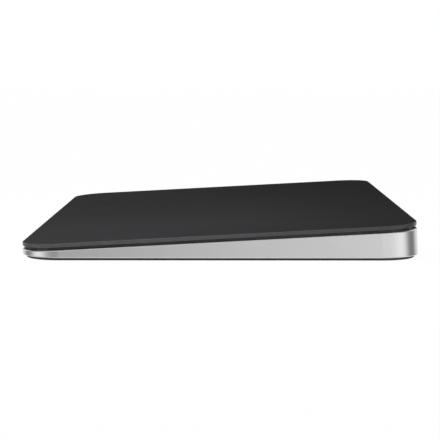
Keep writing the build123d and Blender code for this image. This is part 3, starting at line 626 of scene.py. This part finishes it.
def buildScrewTree():
    tree, given, gOut = newGeometry("panScrews", [
        ("Head Radius", "NodeSocketFloat", 0.001),
        ("Head Height", "NodeSocketFloat", 0.0004),
        ("Shank Radius", "NodeSocketFloat", 0.0007),
        ("Length", "NodeSocketFloat", 0.002),
        ("Thread Pitch", "NodeSocketFloat", 0.0004),
        ("Thread Depth", "NodeSocketFloat", 0.0001),
        ("Recess Width", "NodeSocketFloat", 0.0003),
        ("Recess Depth", "NodeSocketFloat", 0.0002),
        ("Flip", "NodeSocketFloat", 0.0),
        ("Slope", "NodeSocketFloat", 0.0),
        ("Material", "NodeSocketMaterial", None),
    ])
    headRadius, headHeight = given["Head Radius"], given["Head Height"]
    core = mathNode(tree, "SUBTRACT", given["Shank Radius"], given["Thread Depth"])

    # domed head, flat underneath, with a cross recess
    values = {"Segments": screwLook["headSegments"], "Rings": screwLook["headRings"], "Radius": 1.0}
    ball = setNode(tree, "GeometryNodeMeshUVSphere", values).outputs["Mesh"]
    size = pointVector(tree, headRadius, headRadius, headHeight)
    dome = moved(tree, ball, scale=size)
    spot = addNode(tree, "GeometryNodeInputPosition").outputs["Position"]
    split = setNode(tree, "ShaderNodeSeparateXYZ", {"Vector": spot}).outputs
    flat = pointVector(tree, split["X"], split["Y"], mathNode(tree, "MAXIMUM", split["Z"], 0.0))
    dome = setNode(tree, "GeometryNodeSetPosition", {"Geometry": dome, "Position": flat}).outputs["Geometry"]
    values = {"Geometry": dome, "Distance": 2 * weldDistance}
    dome = setNode(tree, "GeometryNodeMergeByDistance", values).outputs["Geometry"]
    reach = mathNode(tree, "MULTIPLY", given["Shank Radius"], 2.0)
    depth = mathNode(tree, "MULTIPLY", given["Recess Depth"], 2.0)
    tools = []
    for sides in ((reach, given["Recess Width"]), (given["Recess Width"], reach)):
        size = pointVector(tree, *sides, depth)
        cube = setNode(tree, "GeometryNodeMeshCube", {"Size": size}).outputs["Mesh"]
        tools.append(moved(tree, cube, translation=pointVector(tree, 0.0, 0.0, headHeight)))
    values = {"Self Intersection": True}
    cut = setNode(tree, "GeometryNodeMeshBoolean", values, operation="DIFFERENCE", solver="EXACT")
    tree.links.new(dome, cut.inputs["Mesh 1"])
    for tool in tools:
        tree.links.new(tool, cut.inputs["Mesh 2"])

    # shank with its thread wound round it
    values = {"Vertices": screwLook["shankSides"], "Radius": core, "Depth": given["Length"]}
    shank = setNode(tree, "GeometryNodeMeshCylinder", values).outputs["Mesh"]
    drop = mathNode(tree, "MULTIPLY", given["Length"], -0.5)
    shank = moved(tree, shank, translation=pointVector(tree, 0.0, 0.0, drop))
    run = mathNode(tree, "SUBTRACT", given["Length"], given["Thread Pitch"])
    spiral = setNode(tree, "GeometryNodeCurveSpiral", {
        "Resolution": screwLook["turnSteps"],
        "Rotations": mathNode(tree, "DIVIDE", run, given["Thread Pitch"]),
        "Start Radius": core,
        "End Radius": core,
        "Height": run,
    }).outputs["Curve"]
    values = {"Resolution": screwLook["ridgeSides"], "Radius": given["Thread Depth"]}
    ridge = setNode(tree, "GeometryNodeCurvePrimitiveCircle", values).outputs["Curve"]
    values = {"Curve": spiral, "Profile Curve": ridge, "Fill Caps": True}
    thread = setNode(tree, "GeometryNodeCurveToMesh", values).outputs["Mesh"]
    drop = mathNode(tree, "SUBTRACT", mathNode(tree, "MULTIPLY", given["Thread Pitch"], 0.5), given["Length"])
    thread = moved(tree, thread, translation=pointVector(tree, 0.0, 0.0, drop))

    screw = joined(tree, cut.outputs["Mesh"], shank, thread)
    values = {"Points": given["Geometry"], "Instance": screw, "Rotation": pointVector(tree, given["Flip"])}
    placed = setNode(tree, "GeometryNodeInstanceOnPoints", values).outputs["Instances"]
    tree.links.new(finishedEnd(tree, placed, given["Slope"], given["Material"]), gOut.inputs["Geometry"])
    return tree


def buildScrews(tree, node, name):
    # the frame gives each screw's place; a node's screws have one length and point the same way
    places = []
    for rows in solidRows(node):
        low, high = boxOf(rows)
        x, run = (low[0] + high[0]) / 2, (low[1] + high[1]) / 2
        limit = (screwLook["shankRadius"] + screwLook["headRadius"]) / 2
        head = [row[2] for row in rows if math.hypot(row[0] - x, row[1] - run) > limit]
        headUp = high[2] - max(head) < min(head) - low[2]
        places.append((x, run, min(head) if headUp else max(head)))
    length = (min(head) - low[2]) if headUp else (high[2] - max(head))
    screws = grownPiece(name, tree, {
        "Head Radius": screwLook["headRadius"],
        "Head Height": screwLook["headHeight"],
        "Shank Radius": screwLook["shankRadius"],
        "Length": length,
        "Thread Pitch": screwLook["threadPitch"],
        "Thread Depth": screwLook["threadDepth"],
        "Recess Width": screwLook["recessWidth"],
        "Recess Depth": screwLook["recessDepth"],
        "Flip": 0.0 if headUp else math.pi,
        "Slope": slopeAngle,
        "Material": materials["screw_steel"],
    }, places)
    screws.data.shade_smooth()
    screws.data.set_sharp_from_angle(angle=math.radians(screwLook["smoothAngle"]))
    standFor(screws, node)


screwTree = buildScrewTree()
for node, name in (
    ("flexure_screws", "flexure_screws_threaded"),
    ("haptic_screws", "haptic_screws_threaded"),
    ("logic_board_screws", "board_screws_threaded"),
    ("port_screws", "port_screws_threaded"),
    ("switch_screws", "switch_screws_threaded"),
):
    buildScrews(screwTree, node, name)
print("screws built")


# Haptic coils

coilLook = {
    "wire": 0.19 * mm,
    "build": 0.4 * mm,  # two layers
    "corner": 0.5 * mm,
    "steps": 36,  # in a turn
    "wireSides": 6,
    "cornerSteps": 6,
    "stepUp": (0.495, 0.505),  # share of the wire over which it climbs onto the second layer
}


def buildCoilTree():
    tree, given, gOut = newGeometry("woundCoil", [
        ("Turns", "NodeSocketFloat", 30.0),
        ("Steps", "NodeSocketFloat", 36.0),
        ("Start", "NodeSocketFloat", 0.0),
        ("End", "NodeSocketFloat", 0.01),
        ("Centre Run", "NodeSocketFloat", 0.0),
        ("Centre Out", "NodeSocketFloat", 0.0),
        ("Width", "NodeSocketFloat", 0.004),
        ("Height", "NodeSocketFloat", 0.004),
        ("Layer", "NodeSocketFloat", 0.0002),
        ("Corner", "NodeSocketFloat", 0.0005),
        ("Wire", "NodeSocketFloat", 0.0002),
        ("Sides", "NodeSocketInt", 6),
        ("Slope", "NodeSocketFloat", 0.0),
        ("Material", "NodeSocketMaterial", None),
    ])
    index = addNode(tree, "GeometryNodeInputIndex").outputs["Index"]
    count = mathNode(tree, "MULTIPLY", mathNode(tree, "MULTIPLY", given["Turns"], given["Steps"]), 2.0)
    share = mathNode(tree, "DIVIDE", index, count)
    turn = mathNode(tree, "FRACT", mathNode(tree, "DIVIDE", index, given["Steps"]))

    # one loop of each layer, the inner one first; each runs in the middle of its layer
    loops = []
    for layers in (3.0, 1.0):
        inset = mathNode(tree, "MULTIPLY", given["Layer"], layers)
        quad = setNode(tree, "GeometryNodeCurvePrimitiveQuadrilateral", {
            "Width": mathNode(tree, "SUBTRACT", given["Width"], inset),
            "Height": mathNode(tree, "SUBTRACT", given["Height"], inset),
        }, mode="RECTANGLE").outputs["Curve"]
        radius = mathNode(tree, "SUBTRACT", given["Corner"], mathNode(tree, "MULTIPLY", inset, 0.5))
        values = {"Curve": quad, "Count": coilLook["cornerSteps"], "Radius": radius}
        loop = setNode(tree, "GeometryNodeFilletCurve", values, mode="POLY").outputs["Curve"]
        values = {"Curves": loop, "Factor": turn}
        sample = setNode(tree, "GeometryNodeSampleCurve", values, mode="FACTOR", use_all_curves=True)
        loops.append(sample.outputs["Position"])
    outer = rangeNode(tree, share, *coilLook["stepUp"])
    spot = mixValues(tree, outer, *loops, "VECTOR")
    split = setNode(tree, "ShaderNodeSeparateXYZ", {"Vector": spot}).outputs

    # out along the first layer and back along the second
    away = mathNode(tree, "PINGPONG", mathNode(tree, "MULTIPLY", share, 2.0), 1.0)
    along = mixValues(tree, away, given["Start"], given["End"])
    run = mathNode(tree, "ADD", split["X"], given["Centre Run"])
    out = mathNode(tree, "ADD", split["Y"], given["Centre Out"])
    line = addNode(tree, "GeometryNodeCurvePrimitiveLine").outputs["Curve"]
    values = {"Curve": line, "Count": mathNode(tree, "ADD", count, 1.0)}
    points = setNode(tree, "GeometryNodeResampleCurve", values, mode="COUNT").outputs["Curve"]
    values = {"Geometry": points, "Position": pointVector(tree, along, run, out)}
    path = setNode(tree, "GeometryNodeSetPosition", values).outputs["Geometry"]
    radius = mathNode(tree, "MULTIPLY", given["Wire"], 0.5)
    values = {"Resolution": given["Sides"], "Radius": radius}
    ring = setNode(tree, "GeometryNodeCurvePrimitiveCircle", values).outputs["Curve"]
    values = {"Curve": path, "Profile Curve": ring, "Fill Caps": True}
    wire = setNode(tree, "GeometryNodeCurveToMesh", values).outputs["Mesh"]
    tree.links.new(finishedEnd(tree, wire, given["Slope"], given["Material"]), gOut.inputs["Geometry"])
    return tree


def buildCoil(tree, node, name):
    low, high = slopeBox(node)
    wire = coilLook["wire"]
    coil = grownPiece(name, tree, {
        "Turns": float(int((high[0] - low[0]) / (coilLook["build"] / 2)) - 1),
        "Steps": float(coilLook["steps"]),
        "Start": low[0] + wire / 2,
        "End": high[0] - wire / 2,
        "Centre Run": (low[1] + high[1]) / 2,
        "Centre Out": (low[2] + high[2]) / 2,
        "Width": high[1] - low[1],
        "Height": high[2] - low[2],
        "Layer": coilLook["build"] / 2,
        "Corner": coilLook["corner"],
        "Wire": wire,
        "Sides": coilLook["wireSides"],
        "Slope": slopeAngle,
        "Material": materials["coil_copper"],
    })
    coil.data.shade_smooth()
    standFor(coil, node)


coilTree = buildCoilTree()
for side in ("left", "right"):
    buildCoil(coilTree, "haptic_coil_" + side, "haptic_winding_" + side)
print("coils wound")


# Capacitors

capacitorLook = {
    "capShare": 0.26,  # of the length, for each metal end
    "bodyShare": 0.9,  # of the ends' width
    "roundLevel": 3,
    "edgeCrease": 0.85,
    "smoothAngle": 50,
    "tin": dict(
        light=(0.8, 0.79, 0.76, 1), dark=(0.66, 0.65, 0.62, 1), metal=1.0, clean=0.3, touched=0.5,
        patch=2500, grain=9000, bump=0.3,
    ),
}


def softBox(tree, size):
    # a box whose edges are slightly rounded
    cube = setNode(tree, "GeometryNodeMeshCube", {"Size": size}).outputs["Mesh"]
    values = {"Mesh": cube, "Level": capacitorLook["roundLevel"], "Edge Crease": capacitorLook["edgeCrease"]}
    return setNode(tree, "GeometryNodeSubdivisionSurface", values).outputs["Mesh"]


def buildCapacitorTree():
    tree, given, gOut = newGeometry("chipCapacitors", [
        ("Length", "NodeSocketFloat", 0.001),
        ("Width", "NodeSocketFloat", 0.0005),
        ("Height", "NodeSocketFloat", 0.0005),
        ("Cap Share", "NodeSocketFloat", 0.25),
        ("Body Share", "NodeSocketFloat", 0.9),
        ("Slope", "NodeSocketFloat", 0.0),
        ("Body Material", "NodeSocketMaterial", None),
        ("Cap Material", "NodeSocketMaterial", None),
    ])
    length, width, height = given["Length"], given["Width"], given["Height"]
    thin = [mathNode(tree, "MULTIPLY", value, given["Body Share"]) for value in (length, width, height)]
    body = softBox(tree, pointVector(tree, *thin))
    cap = mathNode(tree, "MULTIPLY", length, given["Cap Share"])
    shift = mathNode(tree, "MULTIPLY", mathNode(tree, "SUBTRACT", length, cap), 0.5)
    end = softBox(tree, pointVector(tree, cap, width, height))
    back = mathNode(tree, "MULTIPLY", shift, -1.0)
    ends = [moved(tree, end, translation=pointVector(tree, place)) for place in (shift, back)]
    finished = []
    for shape, material in ((body, given["Body Material"]), (joined(tree, *ends), given["Cap Material"])):
        values = {"Points": given["Geometry"], "Instance": shape}
        placed = setNode(tree, "GeometryNodeInstanceOnPoints", values).outputs["Instances"]
        finished.append(finishedEnd(tree, placed, given["Slope"], material))
    tree.links.new(joined(tree, *finished), gOut.inputs["Geometry"])
    return tree


def buildCapacitors():
    boxes = [boxOf(rows) for rows in solidRows("capacitors")]
    low, high = boxes[0]
    capacitors = grownPiece("chip_capacitors", buildCapacitorTree(), {
        "Length": high[0] - low[0],
        "Width": high[1] - low[1],
        "Height": high[2] - low[2],
        "Cap Share": capacitorLook["capShare"],
        "Body Share": capacitorLook["bodyShare"],
        "Slope": slopeAngle,
        "Body Material": materials["capacitor_brown"],
        "Cap Material": finishedMaterial("tinned_ends", capacitorLook["tin"]),
    }, [tuple((a + b) / 2 for a, b in zip(*box)) for box in boxes])
    capacitors.data.shade_smooth()
    capacitors.data.set_sharp_from_angle(angle=math.radians(capacitorLook["smoothAngle"]))
    standFor(capacitors, "capacitors")


buildCapacitors()
print("capacitors built")


# Soft pads, sensor ribbon and pouch cells

padLook = {
    "corner": 0.8 * mm,
    "bulge": 0.06 * mm,
    "steps": 8,
    "press": 0.12 * mm,  # the joint's whole travel
    "smoothAngle": 50,
}


def buildPads():
    # gel pads between the springs and the touch plate
    stacks = []
    for rows in solidRows("support_pads"):
        low, high = boxOf(rows)
        levels = []
        for step in range(padLook["steps"] + 1):
            share = step / padLook["steps"]
            inset = padLook["bulge"] * (1 - math.sin(math.pi * share))
            levels.append((inset, low[2] + share * (high[2] - low[2])))
        stacks.append(leveledRings(low, high, padLook["corner"], levels, padLook["steps"]))
    pads = stackedMesh("gel_pads", *stacks)
    pads.data.materials.append(materials["pad_gel"])
    smoothByAngle(pads, padLook["smoothAngle"])
    standFor(pads, "support_pads")
    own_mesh(pads)


ribbonLook = {
    "thickness": 0.12 * mm,
    "bendSteps": 20,
    "smoothAngle": 40,
    "film": dict(
        light=(0.42, 0.16, 0.03, 1), dark=(0.34, 0.12, 0.02, 1), clean=0.25, touched=0.35, patch=300,
        grain=2000, bump=0.2,
        tracks=dict(pitch=0.5 * mm, patch=10, crossShare=0.0, color=(0.6, 0.27, 0.06, 1), relief=0.02 * mm),
    ),
}


def buildRibbon():
    # the sensor's ribbon hangs in one loop, from the pressed board down to its socket
    low, high = slopeBox("sensor_flex")
    half = ribbonLook["thickness"] / 2
    upper, lower = high[2] - half, low[2] + half
    radius = (upper - lower) / 2
    turn = low[1] + half + radius
    line = [(high[1], upper, 0.0, 1.0)]  # run, out and the way across the ribbon
    for step in range(ribbonLook["bendSteps"] + 1):
        angle = math.pi * step / ribbonLook["bendSteps"]
        run, out = -math.sin(angle), math.cos(angle)
        line.append((turn + radius * run, lower + radius * (1 + out), run, out))
    line.append((slopeBox("sensor_socket")[0][1], lower, 0.0, -1.0))
    rings = []
    for run, out, acrossRun, acrossOut in line:
        rings.append([
            (x, run + side * half * acrossRun, out + side * half * acrossOut)
            for x, side in ((high[0], 1), (low[0], 1), (low[0], -1), (high[0], -1))
        ])
    ribbon = stackedMesh("sensor_ribbon", rings)
    ribbon.data.materials.append(finishedMaterial("ribbon_film", ribbonLook["film"]))
    smoothByAngle(ribbon, ribbonLook["smoothAngle"])
    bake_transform(ribbon)
    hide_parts("sensor_flex")


pouchLook = {
    "corner": 1.6 * mm,
    "edgeRound": 0.5 * mm,
    "crown": 0.12 * mm,
    "crownReach": 9.0 * mm,
    "edgeSteps": 6,
    "crownSteps": 10,
    "smoothAngle": 60,
}


def buildPouch(node, name):
    # sealed pouch, slightly crowned on both faces, with soft edges
    low, high = slopeBox(node)
    size = pouchLook["edgeRound"]
    side = []
    for step in range(pouchLook["edgeSteps"] + 1):
        angle = 0.5 * math.pi * step / pouchLook["edgeSteps"]
        side.append((size * (1 - math.sin(angle)), pouchLook["crown"] + size * (1 - math.cos(angle))))
    face = []
    for step in range(pouchLook["crownSteps"]):
        share = 1 - step / pouchLook["crownSteps"]
        face.append((size + share * pouchLook["crownReach"], pouchLook["crown"] * (1 - share) ** 2))
    half = face + side
    levels = [(inset, low[2] + rise) for inset, rise in half]
    levels += [(inset, high[2] - rise) for inset, rise in reversed(half)]
    pouch = stackedMesh(name, leveledRings(low, high, pouchLook["corner"], levels, pouchLook["edgeSteps"]))
    pouch.data.materials.append(materials["cell_pouch"])
    smoothByAngle(pouch, pouchLook["smoothAngle"])
    standFor(pouch, node)


buildPads()
buildRibbon()
for side in ("left", "right"):
    buildPouch("battery_cell_" + side, "battery_pouch_" + side)
print("pads, ribbon and pouches built")


# Studio: floor, world, lamp and camera

studio = {
    "floorSize": 6.0,
    "floorColor": 0.9,
    "floorRoughness": 0.9,
    "floorSpecular": 0.1,
    "floorWhite": 0.985,  # share of plain white that the camera sees, the rest takes the shadow
    "overhead": 0.9,
    "tableShade": 0.08,
    "cardFront": 0.26,  # the dark card behind the glass: light off its end by the front edge
    "cardRear": 0.0,  # and off its end by the rear edge
    "panelPlace": (70 * mm, -30 * mm, 110 * mm),  # soft panel over the near edge, facing down
    "panelSize": 60 * mm,
    "panelPower": 0.28,
}

# along one axis of the way a ray looks, from -1 to 1: where a thing sets in and where it is whole
fades = {
    "backdropBehind": (-0.7, -0.92),
    "shadeUnder": (-0.1, -0.18),
    "shadeAside": (0.44, 0.32),
    "shadeBehind": (-0.45, -0.7),
    "cardBehind": (-0.25, -0.6),
    "cardOver": (-0.03, 0.04),
    "cardAside": (0.46, 0.28),
    "cardAlong": (-0.3, 0.25),
    "overheadOver": (0.8, 0.95),
}

# azimuth in degrees from the camera's side, towards the rear edge, and the light that comes from there
wallLight = [
    (-180, 1.0), (-140, 1.0), (-118, 0.16), (-100, 0.16), (-78, 1.12), (-60, 1.12), (-42, 0.48), (-25, 0.34),
    (-14, 0.22), (-6, 0.33), (-1, 0.73), (3, 0.92), (12, 0.84), (34, 0.84), (46, 0.9), (58, 1.08), (74, 1.08),
    (98, 0.17), (116, 0.17), (140, 1.0), (180, 1.0),
]


def buildFloor():
    size = studio["floorSize"] / 2
    mesh = bpy.data.meshes.new("floor")
    corners = [(-size, -size, 0), (size, -size, 0), (size, size, 0), (-size, size, 0)]
    mesh.from_pydata(corners, [], [(0, 1, 2, 3)])
    floor = bpy.data.objects.new("floor", mesh)
    bpy.context.scene.collection.objects.link(floor)
    material = bpy.data.materials.new("pale_floor")
    material.use_nodes = True
    tree = material.node_tree
    shader = tree.nodes["Principled BSDF"]
    shader.inputs["Base Color"].default_value = grey(studio["floorColor"])
    shader.inputs["Roughness"].default_value = studio["floorRoughness"]
    shader.inputs["Specular IOR Level"].default_value = studio["floorSpecular"]
    ray = addNode(tree, "ShaderNodeLightPath").outputs["Is Camera Ray"]
    share = mathNode(tree, "MULTIPLY", ray, studio["floorWhite"])
    white = addNode(tree, "ShaderNodeEmission").outputs["Emission"]
    values = {"Fac": share, 1: shader.outputs["BSDF"], 2: white}
    above = setNode(tree, "ShaderNodeMixShader", values).outputs["Shader"]

    # looked at from below, the floor is clear
    under = addNode(tree, "ShaderNodeNewGeometry").outputs["Backfacing"]
    clear = addNode(tree, "ShaderNodeBsdfTransparent").outputs["BSDF"]
    seen = setNode(tree, "ShaderNodeMixShader", {"Fac": under, 1: above, 2: clear}).outputs["Shader"]
    tree.links.new(seen, tree.nodes["Material Output"].inputs["Surface"])
    mesh.materials.append(material)
    floor.visible_glossy = False


def buildWalls(tree, azimuth):
    # walls all round, bright and dark by turns
    ramp = addNode(tree, "ShaderNodeValToRGB")
    ramp.color_ramp.interpolation = "EASE"
    top = max(level for _, level in wallLight)
    stops = ramp.color_ramp.elements
    while len(stops) < len(wallLight):
        stops.new(0.5)
    for stop, (degrees, level) in zip(stops, wallLight):
        stop.position = (degrees + 180) / 360
        stop.color = grey(level / top)
    tree.links.new(rangeNode(tree, azimuth, -math.pi, math.pi, kind="LINEAR"), ramp.inputs["Fac"])
    return mathNode(tree, "MULTIPLY", ramp.outputs["Color"], top)


def buildWorld():
    def fade(source, name):
        return rangeNode(tree, source, *fades[name])

    world = bpy.data.worlds.new("studio")
    bpy.context.scene.world = world
    world.use_nodes = True
    tree = world.node_tree
    background = tree.nodes["Background"]
    background.inputs["Color"].default_value = grey(1.0)
    place = addNode(tree, "ShaderNodeTexCoord").outputs["Generated"]
    split = setNode(tree, "ShaderNodeSeparateXYZ", {"Vector": place}).outputs
    x, y, z = (split[axis] for axis in "XYZ")
    aside = mathNode(tree, "ABSOLUTE", y)
    walls = buildWalls(tree, mathNode(tree, "ARCTAN2", y, x))

    # behind the object metal and glass show the white backdrop too
    ray = addNode(tree, "ShaderNodeLightPath").outputs
    mirrored = mathNode(tree, "ADD", ray["Is Glossy Ray"], ray["Is Transmission Ray"])
    behind = mathNode(tree, "MULTIPLY", fade(x, "backdropBehind"), mirrored)
    around = mixValues(tree, behind, walls, 1.0)

    # low down behind it lies the table's shade, which its bottom edge mirrors at the corners
    low = mathNode(tree, "MULTIPLY", fade(z, "shadeUnder"), fade(aside, "shadeAside"))
    low = mathNode(tree, "MULTIPLY", low, fade(x, "shadeBehind"))
    around = mixValues(tree, low, around, studio["tableShade"])

    # a dark card leans over the glass from behind, above the table's level, under the overhead light,
    # and is no wider than the object, so that the corners of the rim mirror the backdrop
    card = mathNode(tree, "MULTIPLY", fade(x, "cardBehind"), fade(z, "cardOver"))
    card = mathNode(tree, "MULTIPLY", card, fade(aside, "cardAside"))
    cardLight = rangeNode(tree, y, *fades["cardAlong"], studio["cardFront"], studio["cardRear"], "LINEAR")
    shaded = mixValues(tree, card, around, cardLight)
    room = mixValues(tree, fade(z, "overheadOver"), shaded, studio["overhead"])
    seen = mixValues(tree, ray["Is Camera Ray"], room, 1.0)
    tree.links.new(seen, background.inputs["Strength"])


def buildPanel():
    data = bpy.data.lights.new("front_panel", "AREA")
    data.shape = "SQUARE"
    data.size = studio["panelSize"]
    data.energy = studio["panelPower"]
    panel = bpy.data.objects.new("front_panel", data)
    panel.location = studio["panelPlace"]
    panel.visible_camera = False
    panel.visible_glossy = False
    bpy.context.scene.collection.objects.link(panel)


cameraLook = {
    "place": (465.64 * mm, 2.12 * mm, 54.94 * mm),
    "pitch": 6.320,  # degrees down
    "yaw": -0.310,  # degrees towards the rear edge
    "lens": 112.6,
    "sensor": 36.0,
    "clip": (1 * mm, 100.0),
}


def buildCamera():
    data = bpy.data.cameras.new("camera")
    data.lens = cameraLook["lens"]
    data.sensor_width = cameraLook["sensor"]
    camera = bpy.data.objects.new("camera", data)
    bpy.context.scene.collection.objects.link(camera)
    pitch = math.radians(cameraLook["pitch"])
    yaw = math.radians(cameraLook["yaw"])
    ahead = Vector((-math.cos(pitch) * math.cos(yaw), math.cos(pitch) * math.sin(yaw), -math.sin(pitch)))
    camera.location = cameraLook["place"]
    camera.rotation_mode = "QUATERNION"
    camera.rotation_quaternion = ahead.to_track_quat("-Z", "Y")
    data.clip_start, data.clip_end = cameraLook["clip"]
    bpy.context.scene.camera = camera


buildFloor()
buildWorld()
buildPanel()
buildCamera()
bpy.context.scene.view_settings.view_transform = "Standard"
print("studio built")
